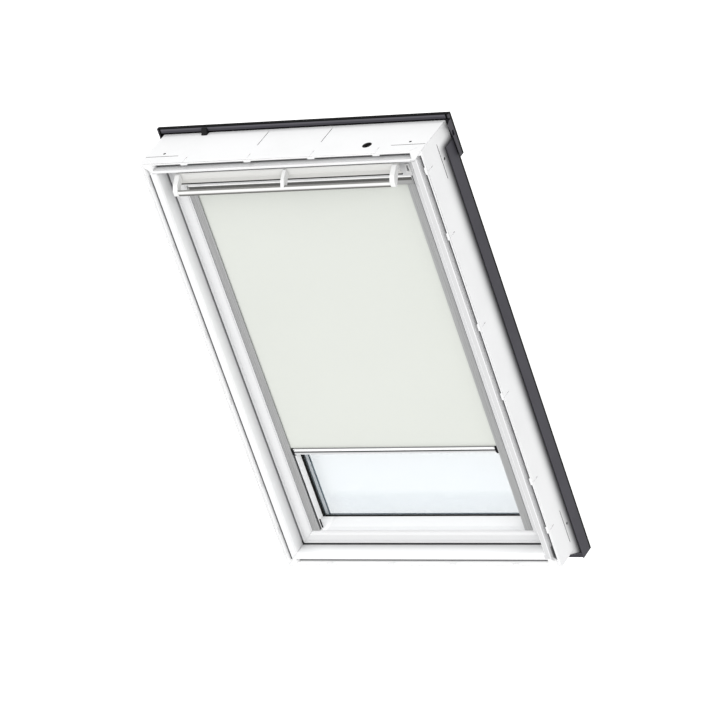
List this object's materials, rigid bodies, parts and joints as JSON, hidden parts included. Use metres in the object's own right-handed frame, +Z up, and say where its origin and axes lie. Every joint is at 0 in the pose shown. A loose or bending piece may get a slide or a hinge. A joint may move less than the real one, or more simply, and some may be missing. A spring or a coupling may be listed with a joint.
{
  "type": "skylight window blind",
  "caption": "White centre-pivot roof window with a blackout roller blind running in side channels, a top control bar with ventilation flap, and dark metal weather covers.",
  "frame": {"origin": "middle of the flat strip under the frame, halfway along its length and across its depth", "axes": "+Z up the window from its foot to its head, +Y outwards from the room through the window, +X to the right seen from the room"},
  "size_m": [0.808, 0.169, 1.236],
  "materials": {
    "white_polyurethane": "smooth moulded white, slight orange peel",
    "white_lacquer": "satin white lacquer on aluminium",
    "grey_cladding": "satin dark grey lacquered aluminium sheet",
    "black_rubber": "matt black seal",
    "zinc_steel": "zinc plated",
    "window_glass": "clear, slightly blue",
    "grey_aluminium": "satin anodised grey",
    "bright_aluminium": "bright anodised",
    "blackout_cloth": "coated off-white cloth",
    "filter_foam": "open foam",
    "black_plastic": "moulded black"
  },
  "bodies": {
    "frame": {"frame_top": "white_polyurethane", "frame_bottom": "white_polyurethane", "frame_left": "white_polyurethane", "frame_right": "white_polyurethane", "frame_sill": "white_polyurethane", "frame_seal": "black_rubber", "cable_grommet": "black_rubber", "hood": "grey_cladding", "hood_clip": "black_plastic", "side_cover_left": "grey_cladding", "side_cover_right": "grey_cladding", "joint_cover_left": "grey_cladding", "joint_cover_right": "grey_cladding", "sill_cover": "grey_cladding", "striker_plate": "zinc_steel", "pivot_plate_frame_left": "zinc_steel", "pivot_plate_frame_right": "zinc_steel", "pivot_pin_left": "zinc_steel", "pivot_pin_right": "zinc_steel"},
    "sash": {"sash_top": "white_polyurethane", "sash_bottom": "white_polyurethane", "sash_left": "white_polyurethane", "sash_right": "white_polyurethane", "pane_inner": "window_glass", "pane_outer": "window_glass", "glass_spacer": "bright_aluminium", "glazing_seal": "black_rubber", "sash_cover_left": "grey_cladding", "sash_cover_right": "grey_cladding", "sash_cover_top": "grey_cladding", "sash_cover_bottom": "grey_cladding", "pivot_plate_sash_left": "zinc_steel", "pivot_plate_sash_right": "zinc_steel", "lock_case": "zinc_steel", "bolt_guide": "white_lacquer", "flap_bracket_left": "white_lacquer", "flap_bracket_right": "white_lacquer", "air_filter": "filter_foam", "blind_cassette": "grey_aluminium", "cassette_end_left": "grey_aluminium", "cassette_end_right": "grey_aluminium", "spring_cartridge": "zinc_steel", "channel_left": "grey_aluminium", "channel_right": "grey_aluminium", "channel_foot_left": "black_plastic", "channel_foot_right": "black_plastic", "cloth": "blackout_cloth"},
    "flap": {"vent_flap": "white_lacquer", "flap_seal": "black_rubber", "control_bar": "white_lacquer", "bar_arm_left": "white_lacquer", "bar_arm_middle": "white_lacquer", "bar_arm_right": "white_lacquer"},
    "latch": {"latch_tongue": "zinc_steel"},
    "bolt": {"barrel_bolt": "zinc_steel"},
    "roller": {"roller_tube": "bright_aluminium", "cloth_roll": "blackout_cloth"},
    "blind_bar": {"bottom_bar": "bright_aluminium", "bar_shoe_left": "black_plastic", "bar_shoe_right": "black_plastic"}
  },
  "joints": [
    {"name": "sash_pivot", "type": "hinge", "parent": "frame", "child": "sash", "pos_m": [0, 0.086, 0.589], "axis": [1, 0, 0], "range_deg": [0, 145]},
    {"name": "flap_hinge", "type": "hinge", "parent": "sash", "child": "flap", "pos_m": [0, -0.0053, 1.1335], "axis": [-1, 0, 0], "range_deg": [0, 30]},
    {"name": "latch_turn", "type": "hinge", "parent": "sash", "child": "latch", "pos_m": [0, 0.044, 1.127], "axis": [-1, 0, 0], "range_deg": [0, 8]},
    {"name": "bolt_slide", "type": "slide", "parent": "sash", "child": "bolt", "axis": [0, 0, 1], "range_m": [0, 0.012]},
    {"name": "blind_slide", "type": "slide", "parent": "sash", "child": "blind_bar", "axis": [0, 0, 1], "range_m": [-0.215, 0.738], "deforming": ["cloth"]},
    {"name": "roller_spin", "type": "hinge", "parent": "sash", "child": "roller", "pos_m": [0, 0.0343, 1.07435], "axis": [1, 0, 0], "range_deg": [-4500, 1350]}
  ],
  "couplings": [
    {"joint": "latch_turn", "follows": "flap_hinge", "ratio": 0.2666},
    {"joint": "roller_spin", "follows": "blind_slide", "rad_per_m": -104.17}
  ]
}
